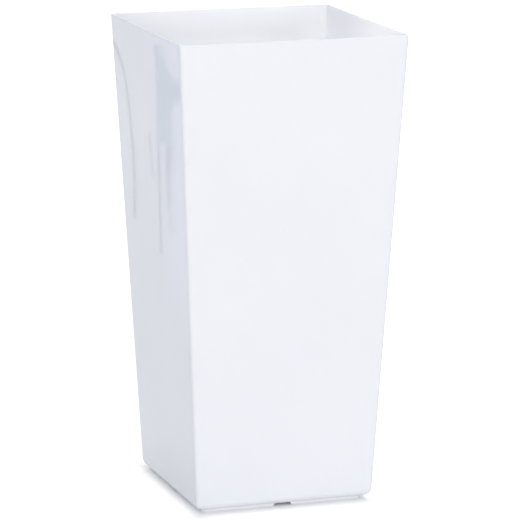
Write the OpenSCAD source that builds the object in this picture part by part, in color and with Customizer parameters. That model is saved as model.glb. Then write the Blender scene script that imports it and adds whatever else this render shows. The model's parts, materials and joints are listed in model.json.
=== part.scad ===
// Tall square self-watering planter: a tapered gloss shell that carries a lift-out liner.
// The liner holds a water reservoir under a perforated separator, with wicking cups,
// a filling tube with a hinged lid, and a float gauge that shows the water level.
// Millimetres, +Z up, origin on the floor under the centre. The front is towards -Y.

/* [Planter shell] */
// Height from the floor to the rim
planter_h = 600; // [520:5:680]
// Outside width across the rim
rim_w = 298; // [280:1:330]
// Outside width that the wall planes have at floor level
base_w = 234; // [215:1:250]
// Thickness of the walls
planter_wall = 3; // [2.4:0.1:4]
// Thickness of the floor
planter_floor = 3; // [2.4:0.1:5]
// Radius of the four upright edges
edge_r = 4; // [3.5:0.5:8]
// Radius of the edge between the walls and the underside
base_fillet = 9; // [6:0.5:12]
// Radius that rounds the two edges of the rim
rim_r = 1; // [0.6:0.1:1.1]

/* [Foot ring] */
// Height of the ring that stands on the floor
foot_h = 5.5; // [4:0.5:9]
// Distance from the wall plane in to the ring
foot_inset = 10.5; // [9:0.5:16]
// Thickness of the ring
foot_t = 4; // [3:0.5:6]
// Corner radius of the ring
foot_r = 7; // [5:0.5:12]
// Width of the drainage notch in the middle of each side
notch_w = 26; // [16:1:40]
// Height of the drainage notch
notch_h = 4; // [2.5:0.5:4]

/* [Liner] */
// Depth of the liner's rim below the planter's rim
liner_drop = 56; // [50:1:80]
// Height of the liner
liner_depth = 320; // [280:5:360]
// Thickness of the liner's walls and floor
liner_wall = 2.5; // [2:0.1:3.5]
// Thickness of the rim flange
flange_t = 3; // [2.5:0.1:4]
// Gap between the rim flange and the planter's walls
liner_gap = 1.8; // [1.2:0.1:3]
// Width of the flange that rests on the planter's ribs
seat_w = 8; // [7.5:0.5:10]
// Gap between the liner's walls and the ribs
liner_clear = 1.5; // [1:0.1:2.5]
// Corner radius of the liner's walls
liner_corner_r = 14; // [10:1:20]
// Height of the water reservoir
reservoir_h = 65; // [58:1:80]
// Width of the inside shoulder that carries the separator
shoulder_w = 6; // [5:0.5:8]
// Diameter of the overflow holes under the shoulder
overflow_d = 8; // [5:0.5:10]

/* [Handles] */
// Width of each handle
handle_w = 100; // [80:1:120]
// Width of a handle's leg
leg_w = 12; // [10:0.5:16]
// Thickness of a handle's leg
leg_t = 4; // [3:0.5:4]
// Diameter of the grip
grip_d = 10; // [8:0.5:12]
// Room for the fingers under the grip
finger_gap = 13; // [11:0.5:15]
// How far a handle pulls up
handle_travel = 55; // [40:1:60]

/* [Separator and wicking cups] */
// Thickness of the separator plate
separator_t = 2.5; // [2:0.1:4]
// Height of the lip round the separator
lip_h = 8; // [4:0.5:12]
// Diameter of the air holes
air_hole_d = 5; // [3:0.5:6]
// Pitch of the air holes
air_pitch = 16; // [14:1:22]
// Distance of the wicking cups from the centre
cup_pos = 56; // [52:1:60]
// Outside diameter of a cup under its flange
cup_d = 50; // [44:1:54]
// Outside diameter of a cup at its bottom
cup_foot_d = 40; // [34:1:42]
// Wall thickness of a cup
cup_wall = 2; // [1.6:0.1:2.5]
// Slots round a cup
cup_slots = 10; // [6:1:12]
// Width of a slot
cup_slot_w = 3; // [2:0.5:4]

/* [Filling tube] */
// Outside diameter of the tube
fill_d = 36; // [30:1:38]
// Wall thickness of the tube
fill_wall = 2; // [1.6:0.1:3]
// Depth of the tube's collar below the liner's rim
fill_drop = 8; // [6:1:30]
// Thickness of the lid
lid_t = 2.5; // [2:0.1:4]
// Diameter of the lid's hinge pin
lid_pin_d = 2.5; // [2:0.1:3]

/* [Level gauge] */
// Outside diameter of the gauge tube
gauge_d = 26; // [24:1:30]
// Wall thickness of the gauge tube
gauge_wall = 1.8; // [1.4:0.1:2.5]
// Depth of the gauge tube's top below the liner's rim
gauge_drop = 38; // [36:1:60]
// Height of the float
float_h = 36; // [28:1:40]
// How far the float rises
float_travel = 40; // [30:1:42]
// Diameter of the gauge rod
rod_d = 3; // [2.4:0.1:4]
// Diameter of the red pointer
pointer_d = 12; // [9:0.5:14]
// Height of the pointer
pointer_h = 9; // [7:0.5:10]

/* [Drain plugs] */
// Diameter of the drain hole in the planter's floor
drain_d = 22; // [16:1:26]
// Diameter of the drain hole in the liner's floor
liner_drain_d = 18; // [14:1:24]
// Thickness of the plugs' flat gaskets
gasket_t = 1.6; // [1.2:0.1:2.4]

/* [Fits] */
// Gap round pieces that slide or drop into each other
slide_gap = 0.3; // [0.2:0.05:0.5]
// Gap round pins and rods that turn or slide in a bore
pin_gap = 0.08; // [0.05:0.01:0.1]

/* [Hidden] */
$fn = 64;
corner_steps = 6;
fillet_steps = 6;
rim_steps = 3;
// Overlap of joined shapes, and how far a cutter reaches past a face
merge = 0.5;
cut = 1;

white = "white";
liner_grey = "gainsboro";
insert_grey = "slategray";
rubber = "dimgray";

// Walls of the planter: outside and inside half width at height z
taper = (rim_w - base_w) / 2 / planter_h;
function planter_half(z) = base_w / 2 + taper * z;
function planter_inner(z) = planter_half(z) - planter_wall;
inner_edge_r = max(edge_r - planter_wall, 0.8);
inner_fillet = max(base_fillet - planter_wall, 1.5);
planter_floor_top = foot_h + planter_floor;
notch_slope = 3;
floor_rib_t = 3;
floor_rib_lift = 2;
boss_rim = 7;

// Liner: it hangs by its flange on the planter's ribs and its walls follow the planter's taper
liner_rim_z = planter_h - liner_drop;
seat_z = liner_rim_z - flange_t;
flange_half = planter_inner(seat_z) - liner_gap;
rib_face = flange_half - seat_w;
liner_top_half = rib_face - liner_clear;
liner_bottom_z = liner_rim_z - liner_depth;
liner_floor_top = liner_bottom_z + liner_wall;
shoulder_z = liner_floor_top + reservoir_h;
liner_fillet = 2 * liner_wall;
liner_inner_fillet = liner_fillet - liner_wall;
flange_r = liner_corner_r / 2;
function liner_half(z) = liner_top_half - taper * (seat_z - z);
function reservoir_half(z) = liner_half(z) - shoulder_w;
floor_half = reservoir_half(liner_floor_top) - liner_wall - liner_inner_fillet;

// Ribs that carry the liner: they run down until the tapering wall swallows them
rib_t = 4;
rib_gap = 34;
rib_y = handle_w / 2 + rib_gap;
rib_end_z = seat_z - (planter_inner(seat_z) - rib_face) / taper;

// Handles: legs outside the liner's walls, through slots in the flange that their shoulders rest on
handle_clear = 1.2;
leg_shoulder = 2.5;
arch_r = 9;
handle_x = liner_top_half + handle_clear + leg_t / 2;
barb_h = 6;
barb_w = 2.5;
barb_top_z = seat_z - handle_travel - slide_gap;
leg_end_z = barb_top_z - barb_h;
grip_z = liner_rim_z + finger_gap + grip_d / 2;

// Separator on the liner's shoulder, and what passes through it
separator_half = liner_half(shoulder_z) - liner_wall - 2 * slide_gap;
separator_r = liner_corner_r - liner_wall;
lip_t = 2;
separator_top = shoulder_z + separator_t;
cup_rim = 4;
cup_flange_d = cup_d + 2 * cup_rim;
cup_flange_t = 2;
cup_lift = 2;
cup_bottom_z = liner_floor_top + cup_lift;
cup_slot_start = 8;
cup_slot_share = 0.6;
cup_drain_d = cup_foot_d / 3;
tube_gap = 2;
fill_pos = floor_half - fill_d / 2 - tube_gap;
gauge_pos = floor_half - gauge_d / 2 - tube_gap;
socket_t = 2.5;
socket_h = 12;
stiffener_t = 2;
stiffener_h = 6;
stiffener_at = (cup_pos + stiffener_t) / 2;
fill_at = [-fill_pos, fill_pos, 0];
gauge_at = [gauge_pos, -gauge_pos, 0];

// Filling tube, its collar and lid; the hinge is at the back of the collar
collar_top = liner_rim_z - fill_drop;
collar_lip = 2;
collar_h = 16;
collar_t = 3;
collar_d = fill_d + 2 * collar_t;
mouth_step = 0.5;
mouth_d = fill_d - 2 * (fill_wall + mouth_step);
fill_tube_top = collar_top - collar_lip;
knuckle_t = 2;
knuckle_d = lid_pin_d + 2 * knuckle_t;
hinge_gap = 1;
hinge_y = collar_d / 2 + knuckle_d / 2 + hinge_gap;
hinge_z = collar_top + lid_t / 2;
knuckle_w = 12;
ear_w = 4;
pin_l = knuckle_w + 2 * (slide_gap + ear_w);
lid_skirt_h = 4;
lid_skirt_t = 2;
lid_tab = 7;
lid_root = 4;
outlet_h = 12;

// Level gauge: tube, guide and clear window, with the float, rod and pointer inside
gauge_top = liner_rim_z - gauge_drop;
gauge_ledge = 2;
ledge_w = 4;
gauge_bore = gauge_d - 2 * gauge_wall;
guide_flange = 2;
guide_depth = 8;
guide_spigot = 5;
window_z = gauge_top + guide_flange;
pointer_gap = 1;
window_room = 4;
window_h = guide_spigot + 2 * pointer_gap + pointer_h + float_travel + window_room;
window_wall = 1.6;
window_bore = gauge_d - 2 * window_wall;
float_gap = 0.8;
float_d = gauge_bore - 2 * float_gap;
float_z = liner_floor_top + gauge_ledge + slide_gap;
float_bore_h = float_h / 2;
pointer_z = window_z + guide_spigot + pointer_gap;
rod_bottom = float_z + float_h - float_bore_h;
pointer_cap = 2;
rod_top = pointer_z + pointer_h - pointer_cap;
inlet_start = 6;
inlet_h = 34;
inlet_w = 5;

// Drain plugs
plug_flange = 3;
plug_rim = 7;
tab_d = 20;
tab_t = 4;
tab_hole_d = 10;

// Points of a square with rounded corners, anticlockwise from above
function ring(z, half, r) = [
    for (corner = [0:3], step = [0:corner_steps])
        let (
            turn = 90 * corner + 90 * step / corner_steps,
            sx = (corner == 0 || corner == 3) ? 1 : -1,
            sy = corner < 2 ? 1 : -1
        )
        [sx * (half - r) + r * cos(turn), sy * (half - r) + r * sin(turn), z]
];

// Closed solid through rounded squares given as [height, half width, corner radius].
// The sections may run up the outside and down the inside, which makes a cup.
module loft(sections) {
    n = 4 * (corner_steps + 1);
    last = len(sections) - 1;
    sides = [
        for (j = [0:last - 1], i = [0:n - 1])
            let (a = j * n + i, b = a + n, c = (j + 1) * n + (i + 1) % n, d = j * n + (i + 1) % n)
            each [[a, b, c], [a, c, d]]
    ];
    polyhedron(
        points = [for (s = sections) each ring(s[0], s[1], s[2])],
        faces = concat([[for (i = [0:n - 1]) i]], sides, [[for (i = [n - 1:-1:0]) last * n + i]])
    );
}

// Quarter round at the bottom of a cup, from the flat out to the wall: [height, inset]
function quarter(z, r) = [
    for (step = [0:fillet_steps])
        let (turn = 90 * step / fillet_steps) [z + r * (1 - cos(turn)), r * (1 - sin(turn))]
];
function reversed(list) = [for (i = [len(list) - 1:-1:0]) list[i]];

module rounded_square(half, r) {
    square([2 * (half - r), 2 * half], center = true);
    square([2 * half, 2 * (half - r)], center = true);
    for (x = [-1, 1], y = [-1, 1])
        translate([x * (half - r), y * (half - r)]) circle(r);
}

// Cutter for a hole up through something of height h
module hole(d, h) {
    translate([0, 0, -cut]) cylinder(d = d, h = h + 2 * cut);
}

module tube(d, bore, h) {
    difference() {
        cylinder(d = d, h = h);
        hole(bore, h);
    }
}

// Outer planter

function planter_sections() = concat(
    [for (q = quarter(foot_h, base_fillet)) [q[0], planter_half(q[0]) - q[1], edge_r]],
    [
        for (step = [0:rim_steps])
            let (turn = 90 * step / rim_steps, z = planter_h - rim_r * (1 - sin(turn)))
            [z, planter_half(z) - rim_r * (1 - cos(turn)), edge_r]
    ],
    [
        for (step = [rim_steps:-1:0])
            let (turn = 90 * step / rim_steps, z = planter_h - rim_r * (1 - sin(turn)))
            [z, planter_inner(z) + rim_r * (1 - cos(turn)), inner_edge_r]
    ],
    reversed([
        for (q = quarter(planter_floor_top, inner_fillet))
            [q[0], planter_inner(q[0]) - q[1], inner_edge_r]
    ])
);

module foot_ring() {
    half = planter_half(foot_h) - foot_inset;
    difference() {
        linear_extrude(foot_h + merge) difference() {
            rounded_square(half, foot_r);
            rounded_square(half - foot_t, foot_r - foot_t / 2);
        }
        for (side = [0, 90])
            rotate([90, 0, side]) linear_extrude(2 * (half + cut), center = true)
                polygon([
                    [-notch_w / 2, -cut], [notch_w / 2, -cut],
                    [notch_w / 2 - notch_slope, notch_h], [notch_slope - notch_w / 2, notch_h]
                ]);
    }
}

module liner_rib() {
    root = planter_wall / 2;
    rotate([90, 0, 0]) linear_extrude(rib_t, center = true)
        polygon([
            [rib_face, rib_end_z], [rib_face + root, rib_end_z],
            [planter_inner(seat_z) + root, seat_z], [rib_face, seat_z]
        ]);
}

module floor_ribs() {
    length = 2 * (planter_half(foot_h) - foot_inset) - foot_t;
    height = foot_h - floor_rib_lift;
    for (side = [45, 135])
        rotate([0, 0, side]) translate([0, 0, foot_h + merge - height / 2])
            cube([length, floor_rib_t, height], center = true);
    translate([0, 0, foot_h + merge - height]) cylinder(d = drain_d + 2 * boss_rim, h = height);
}

module outer_planter() {
    color(white) difference() {
        union() {
            loft(planter_sections());
            foot_ring();
            floor_ribs();
            for (side = [0:90:270], y = [-rib_y, rib_y])
                rotate([0, 0, side]) translate([0, y, 0]) liner_rib();
        }
        hole(drain_d, planter_floor_top);
    }
}

// Drain plugs: flange, stem and pull tab, with the stem down through the hole

module plug(stem_d, stem_h) {
    translate([0, 0, -stem_h]) cylinder(d = stem_d, h = stem_h + plug_flange / 2);
    cylinder(d = stem_d + 2 * plug_rim, h = plug_flange);
    translate([0, 0, plug_flange - merge]) rotate([90, 0, 0])
        linear_extrude(tab_t, center = true) difference() {
            union() {
                translate([0, tab_d / 2]) circle(d = tab_d);
                translate([-tab_d / 2, 0]) square([tab_d, tab_d / 2]);
            }
            translate([0, tab_d / 2]) circle(d = tab_hole_d);
        }
}

module gasket(hole_d) {
    tube(hole_d + 2 * plug_rim - 2, hole_d + slide_gap, gasket_t);
}

module planter_drain_plug() {
    color(rubber) translate([0, 0, planter_floor_top + gasket_t])
        plug(drain_d - 2 * slide_gap, planter_floor + gasket_t + 1);
}

module planter_drain_gasket() {
    color("black") translate([0, 0, planter_floor_top]) gasket(drain_d);
}

module liner_drain_plug() {
    color(rubber) translate([0, 0, liner_bottom_z - gasket_t]) mirror([0, 0, 1])
        plug(liner_drain_d - 2 * slide_gap, liner_wall + gasket_t + 1);
}

module liner_drain_gasket() {
    color("black") translate([0, 0, liner_bottom_z - gasket_t]) gasket(liner_drain_d);
}

// Liner

function liner_sections() = concat(
    [for (q = quarter(liner_bottom_z, liner_fillet)) [q[0], reservoir_half(q[0]) - q[1], liner_corner_r]],
    [
        [shoulder_z - liner_wall, reservoir_half(shoulder_z - liner_wall), liner_corner_r],
        [shoulder_z - liner_wall, liner_half(shoulder_z - liner_wall), liner_corner_r],
        [seat_z, liner_top_half, liner_corner_r],
        [seat_z, flange_half, flange_r],
        [liner_rim_z, flange_half, flange_r],
        [liner_rim_z, liner_half(liner_rim_z) - liner_wall, separator_r],
        [shoulder_z, liner_half(shoulder_z) - liner_wall, separator_r],
        [shoulder_z, reservoir_half(shoulder_z) - liner_wall, separator_r]
    ],
    reversed([
        for (q = quarter(liner_floor_top, liner_inner_fillet))
            [q[0], reservoir_half(q[0]) - liner_wall - q[1], separator_r]
    ])
);

module handle_slots() {
    for (x = [-1, 1], y = [-1, 1])
        translate([x * handle_x, y * (handle_w - leg_w) / 2, liner_rim_z - flange_t / 2])
            cube([leg_t + 2 * slide_gap, leg_w + 2 * slide_gap, flange_t + 2 * cut], center = true);
}

module liner() {
    overflow_z = shoulder_z - liner_wall - overflow_d;
    color(liner_grey) difference() {
        loft(liner_sections());
        handle_slots();
        translate([0, 0, liner_bottom_z]) hole(liner_drain_d, liner_wall);
        translate([0, 0, overflow_z]) rotate([90, 0, 0])
            cylinder(d = overflow_d, h = 2 * (reservoir_half(overflow_z) + cut), center = true);
    }
}

// Handles: an arched strap that rests on the flange, two barbed legs below it and a round grip across it

module rounded_arch(half, h, r) {
    translate([-half, 0]) square([2 * half, h - r]);
    translate([r - half, 0]) square([2 * (half - r), h]);
    for (side = [-1, 1]) translate([side * (half - r), h - r]) circle(r);
}

module handle_strap() {
    half = handle_w / 2;
    leg_l = liner_rim_z - leg_end_z;
    difference() {
        rounded_arch(half + leg_shoulder, finger_gap + grip_d / 2, arch_r);
        translate([0, -cut]) rounded_arch(half - leg_w - leg_shoulder, finger_gap + cut, arch_r / 2);
    }
    for (side = [-1, 1]) {
        translate([side * (half - leg_w / 2) - leg_w / 2, -leg_l]) square([leg_w, leg_l + merge]);
        polygon([
            [side * (half - merge), -leg_l], [side * half, -leg_l],
            [side * (half + barb_w), barb_h - leg_l], [side * (half - merge), barb_h - leg_l]
        ]);
    }
}

module handle(side) {
    grip_half = (handle_w - grip_d) / 2;
    color(insert_grey) translate([side * handle_x, 0, liner_rim_z]) {
        rotate([90, 0, 90]) linear_extrude(leg_t, center = true) handle_strap();
        translate([0, 0, grip_z - liner_rim_z]) {
            rotate([90, 0, 0]) cylinder(d = grip_d, h = 2 * grip_half, center = true);
            for (y = [-grip_half, grip_half]) translate([0, y, 0]) sphere(d = grip_d);
        }
    }
}

// Separator: perforated plate on the liner's shoulder, with sockets for the two tubes

function near(p, at, room) = norm([p[0] - at[0], p[1] - at[1]]) < room;
cup_places = [for (turn = [0:90:270]) [cup_pos * cos(turn), cup_pos * sin(turn), 0]];
air_count = floor((separator_half - lip_t - air_hole_d) / air_pitch);
air_places = [
    for (i = [-air_count:air_count], j = [-air_count:air_count])
        let (p = [i * air_pitch, j * air_pitch])
        if (
            !near(p, fill_at, fill_d / 2 + socket_t + air_hole_d)
            && !near(p, gauge_at, gauge_d / 2 + socket_t + air_hole_d)
            && min([for (c = cup_places) norm([p[0] - c[0], p[1] - c[1]])]) > cup_flange_d / 2 + air_hole_d
        ) p
];

module separator_stiffeners() {
    length = 2 * (reservoir_half(shoulder_z) - liner_wall - stiffener_h);
    for (side = [0, 90], y = [-stiffener_at, stiffener_at])
        rotate([0, 0, side]) translate([0, y, (merge - stiffener_h) / 2])
            cube([length, stiffener_t, stiffener_h + merge], center = true);
}

module separator() {
    color(insert_grey) translate([0, 0, shoulder_z]) difference() {
        union() {
            linear_extrude(separator_t) rounded_square(separator_half, separator_r);
            linear_extrude(lip_h) difference() {
                rounded_square(separator_half, separator_r);
                rounded_square(separator_half - lip_t, separator_r - lip_t);
            }
            separator_stiffeners();
            translate(fill_at) cylinder(d = fill_d + 2 * socket_t, h = socket_h);
            translate(gauge_at) cylinder(d = gauge_d + 2 * socket_t, h = socket_h);
        }
        translate(fill_at) hole(fill_d + 2 * slide_gap, socket_h);
        translate(gauge_at) hole(gauge_d + 2 * slide_gap, socket_h);
        for (p = cup_places)
            translate(p) hole(cup_d + 2 * slide_gap, separator_t);
        for (p = air_places)
            translate(p) hole(air_hole_d, separator_t);
    }
}

// Wicking cups: tapered baskets that hang in the separator and reach down to the water

module wicking_cup() {
    foot_r = cup_foot_d / 2;
    top_r = cup_d / 2;
    bottom = cup_bottom_z;
    top = separator_top;
    slot_h = (top - bottom) * cup_slot_share;
    difference() {
        rotate_extrude() polygon([
            [0, bottom], [foot_r, bottom], [top_r, top], [cup_flange_d / 2, top],
            [cup_flange_d / 2, top + cup_flange_t], [top_r - cup_wall, top + cup_flange_t],
            [foot_r - cup_wall, bottom + cup_wall], [0, bottom + cup_wall]
        ]);
        for (i = [0:cup_slots - 1])
            rotate([0, 0, 360 * (i + 0.5) / cup_slots])
                translate([cup_d / 4 + cup_foot_d / 4, 0, bottom + cup_slot_start + slot_h / 2])
                    cube([cup_d / 2, cup_slot_w, slot_h], center = true);
        translate([0, 0, bottom]) hole(cup_drain_d, cup_wall);
    }
}

module cup_at(place) {
    color(insert_grey) translate(place) wicking_cup();
}

// Filling tube and its collar, lid and hinge pin

module fill_tube() {
    color(liner_grey) translate(fill_at) difference() {
        translate([0, 0, liner_floor_top])
            tube(fill_d, fill_d - 2 * fill_wall, fill_tube_top - liner_floor_top);
        for (turn = [45, 135])
            rotate([0, 0, turn]) translate([0, 0, liner_floor_top + outlet_h / 2 - cut])
                cube([fill_d + 2 * cut, fill_d / 3, outlet_h + 2 * cut], center = true);
    }
}

module fill_collar() {
    ear_x = knuckle_w / 2 + slide_gap;
    color(insert_grey) translate(fill_at) difference() {
        union() {
            translate([0, 0, collar_top - collar_h]) cylinder(d = collar_d, h = collar_h);
            for (side = [-1, 1])
                translate([side * (ear_x + ear_w / 2), 0, 0]) rotate([90, 0, 90])
                    linear_extrude(ear_w, center = true) union() {
                        translate([hinge_y, hinge_z]) circle(d = knuckle_d);
                        polygon([
                            [collar_d / 4, collar_top - collar_h / 2],
                            [collar_d / 2, collar_top - collar_h / 2],
                            [hinge_y + knuckle_d / 2, hinge_z], [hinge_y - knuckle_d / 2, hinge_z],
                            [hinge_y - knuckle_d / 2, collar_top], [collar_d / 4, collar_top]
                        ]);
                    }
        }
        translate([0, 0, collar_top - collar_h - cut])
            cylinder(d = fill_d + slide_gap, h = collar_h - collar_lip + cut);
        translate([0, 0, collar_top - collar_lip]) hole(mouth_d, collar_lip);
        translate([0, hinge_y, hinge_z]) rotate([0, 90, 0])
            cylinder(d = lid_pin_d + 2 * pin_gap, h = pin_l + 2 * cut, center = true);
    }
}

module fill_lid() {
    skirt_d = mouth_d - 2 * slide_gap;
    color(liner_grey) translate(fill_at) difference() {
        union() {
            translate([0, 0, collar_top]) cylinder(d = collar_d, h = lid_t);
            translate([0, 0, collar_top - lid_skirt_h])
                tube(skirt_d, skirt_d - 2 * lid_skirt_t, lid_skirt_h + merge);
            translate([-knuckle_w / 2, 0, collar_top]) cube([knuckle_w, hinge_y, lid_t]);
            translate([-knuckle_w / 2, -collar_d / 2 - lid_tab, collar_top])
                cube([knuckle_w, lid_tab + lid_root, lid_t]);
            translate([0, hinge_y, hinge_z]) rotate([0, 90, 0])
                cylinder(d = knuckle_d, h = knuckle_w, center = true);
        }
        translate([0, hinge_y, hinge_z]) rotate([0, 90, 0])
            cylinder(d = lid_pin_d + 2 * pin_gap, h = pin_l + 2 * cut, center = true);
    }
}

module lid_hinge_pin() {
    color("silver") translate(fill_at) translate([0, hinge_y, hinge_z]) rotate([0, 90, 0])
        cylinder(d = lid_pin_d, h = pin_l, center = true);
}

// Level gauge

module gauge_tube() {
    color(liner_grey) translate(gauge_at) difference() {
        translate([0, 0, liner_floor_top]) union() {
            tube(gauge_d, gauge_bore, gauge_top - liner_floor_top);
            tube(gauge_d - gauge_wall, gauge_bore - 2 * ledge_w, gauge_ledge);
        }
        for (turn = [0, 90])
            rotate([0, 0, turn]) translate([0, 0, liner_floor_top + inlet_start + inlet_h / 2])
                cube([gauge_d + 2 * cut, inlet_w, inlet_h], center = true);
    }
}

module gauge_rod_guide() {
    color(insert_grey) translate(gauge_at) translate([0, 0, gauge_top]) difference() {
        union() {
            translate([0, 0, -guide_depth]) cylinder(d = gauge_bore - slide_gap, h = guide_depth + merge);
            cylinder(d = gauge_d, h = guide_flange);
            cylinder(d = window_bore - slide_gap, h = guide_flange + guide_spigot);
        }
        translate([0, 0, -guide_depth])
            hole(rod_d + 4 * pin_gap, guide_depth + guide_flange + guide_spigot);
    }
}

module gauge_window() {
    dome = gauge_d / 2;
    r = gauge_d / 2;
    bore_r = window_bore / 2;
    color("lightcyan", 0.4) translate(gauge_at) translate([0, 0, window_z]) difference() {
        union() {
            cylinder(r = r, h = window_h - dome);
            translate([0, 0, window_h - dome]) sphere(r);
        }
        translate([0, 0, -cut]) cylinder(r = bore_r, h = window_h - dome + cut);
        translate([0, 0, window_h - dome]) sphere(bore_r);
    }
}

module gauge_float() {
    color("orange") translate(gauge_at) translate([0, 0, float_z]) difference() {
        cylinder(d = float_d, h = float_h);
        translate([0, 0, float_h - float_bore_h]) cylinder(d = rod_d + 2 * pin_gap, h = float_bore_h + cut);
    }
}

module gauge_rod() {
    color("whitesmoke") translate(gauge_at) translate([0, 0, rod_bottom])
        cylinder(d = rod_d, h = rod_top - rod_bottom);
}

module gauge_pointer() {
    color("red") translate(gauge_at) translate([0, 0, pointer_z]) difference() {
        cylinder(d = pointer_d, h = pointer_h);
        translate([0, 0, -cut]) cylinder(d = rod_d + 2 * pin_gap, h = rod_top - pointer_z + cut);
    }
}

outer_planter();
planter_drain_plug();
planter_drain_gasket();
liner();
liner_drain_plug();
liner_drain_gasket();
handle(-1);  // left_handle
handle(1);  // right_handle
separator();
cup_at(cup_places[0]);  // right_cup
cup_at(cup_places[1]);  // back_cup
cup_at(cup_places[2]);  // left_cup
cup_at(cup_places[3]);  // front_cup
fill_tube();
fill_collar();
fill_lid();
lid_hinge_pin();
gauge_tube();
gauge_rod_guide();
gauge_window();
gauge_float();
gauge_rod();
gauge_pointer();
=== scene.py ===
"""Tall square self-watering planter: the finished look of every piece, built round the frame."""

import json
import math

import bmesh
import bpy
from mathutils import Matrix, Vector


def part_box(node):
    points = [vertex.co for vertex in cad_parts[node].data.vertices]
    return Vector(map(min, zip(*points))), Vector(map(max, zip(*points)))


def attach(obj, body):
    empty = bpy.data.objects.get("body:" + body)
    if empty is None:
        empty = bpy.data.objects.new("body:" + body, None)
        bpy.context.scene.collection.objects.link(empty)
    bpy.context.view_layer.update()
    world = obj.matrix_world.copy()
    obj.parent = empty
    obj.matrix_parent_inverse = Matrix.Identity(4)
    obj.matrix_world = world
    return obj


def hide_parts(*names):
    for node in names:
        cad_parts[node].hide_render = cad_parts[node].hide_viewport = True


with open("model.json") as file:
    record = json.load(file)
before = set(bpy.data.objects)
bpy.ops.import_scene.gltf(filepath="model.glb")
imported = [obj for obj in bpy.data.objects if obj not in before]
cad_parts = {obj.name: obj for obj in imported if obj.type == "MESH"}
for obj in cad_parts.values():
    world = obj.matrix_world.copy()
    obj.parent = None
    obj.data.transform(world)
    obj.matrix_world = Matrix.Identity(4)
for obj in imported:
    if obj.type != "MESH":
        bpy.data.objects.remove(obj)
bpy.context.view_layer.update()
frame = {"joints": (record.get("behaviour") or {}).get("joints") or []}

MM = 0.001


def centre(node):
    low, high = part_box(node)
    return (low + high) / 2


# Planter sizes in metres: overall ones come from the frame
PLANTER_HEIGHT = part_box("outer_planter")[1].z
FLOOR_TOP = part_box("planter_drain_gasket")[0].z
BASE_HALF = 117 * MM
RIM_HALF = 149 * MM
TAPER = (RIM_HALF - BASE_HALF) / PLANTER_HEIGHT
WALL = 3 * MM
EDGE_RADIUS = 5 * MM
INNER_EDGE_RADIUS = 6 * MM
BASE_FILLET = 9 * MM
RIM_RADIUS = 1.4 * MM
FOOT_HEIGHT = 4.4 * MM
FOOT_INSET = 10.5 * MM
FOOT_WIDTH = 4 * MM
FOOT_RADIUS = 7 * MM
NOTCH_WIDTH = 26 * MM
NOTCH_HEIGHT = 3 * MM
NOTCH_SLOPE = 3 * MM
FLOOR_RIB_WIDTH = 3 * MM
FLOOR_RIB_LIFT = 2.5 * MM
BOSS_RADIUS = 18 * MM
DRAIN_RADIUS = 11 * MM
RIB_WIDTH = 4 * MM
RIB_ASIDE = 84 * MM

# Liner
LINER_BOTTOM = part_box("liner")[0].z
LINER_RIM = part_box("liner")[1].z
FLANGE_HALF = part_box("liner")[1].x
FLANGE_THICKNESS = 3 * MM
FLANGE_RADIUS = 7 * MM
FLANGE_EDGE = 0.8 * MM
FLANGE_OVERHANG = 8 * MM
RIB_GAP = 1.5 * MM
SEAT = LINER_RIM - FLANGE_THICKNESS
RIB_FACE = FLANGE_HALF - FLANGE_OVERHANG
LINER_TOP_HALF = RIB_FACE - RIB_GAP
LINER_WALL = 2.5 * MM
LINER_RADIUS = 14 * MM
LINER_FILLET = 5 * MM
SHOULDER_WIDTH = 6 * MM
RESERVOIR_DEPTH = 65 * MM
LINER_FLOOR = LINER_BOTTOM + LINER_WALL
SHOULDER = LINER_FLOOR + RESERVOIR_DEPTH
OVERFLOW_RADIUS = 4 * MM
LINER_DRAIN_RADIUS = 9 * MM

# Handles
HANDLE_HALF = 50 * MM
HANDLE_SHOULDER = 2.5 * MM
LEG_WIDTH = 12 * MM
LEG_THICKNESS = 4 * MM
BARB_WIDTH = 2.5 * MM
BARB_HEIGHT = 6 * MM
GRIP_RADIUS = 5 * MM
GRIP_HALF = 45 * MM
FINGER_GAP = 13 * MM
ARCH_RADIUS = 9 * MM

# Separator and wicking cups
SEPARATOR_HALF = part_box("separator")[1].x
SEPARATOR_THICKNESS = 2.5 * MM
SEPARATOR_TOP = SHOULDER + SEPARATOR_THICKNESS
LIP_HEIGHT = 8 * MM
LIP_WIDTH = 2 * MM
SOCKET_HEIGHT = 12 * MM
SOCKET_WALL = 2.5 * MM
STIFFENER_HEIGHT = 6 * MM
STIFFENER_WIDTH = 2 * MM
STIFFENER_ASIDE = 29 * MM
AIR_HOLE_RADIUS = 2.5 * MM
AIR_HOLE_SIDES = 20
AIR_PITCH = 16 * MM
CUP_NODES = ("right_cup", "back_cup", "left_cup", "front_cup")
CUP_RADIUS = 25 * MM
CUP_FOOT_RADIUS = 20 * MM
CUP_FLANGE_RADIUS = 29 * MM
CUP_FLANGE_THICKNESS = 2 * MM
CUP_WALL = 2 * MM
CUP_SLOTS = 10
CUP_SLOT_WIDTH = 3 * MM
CUP_SLOT_START = 8 * MM
CUP_SLOT_SHARE = 0.6
CUP_DRAIN_RADIUS = CUP_FOOT_RADIUS / 3

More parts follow.
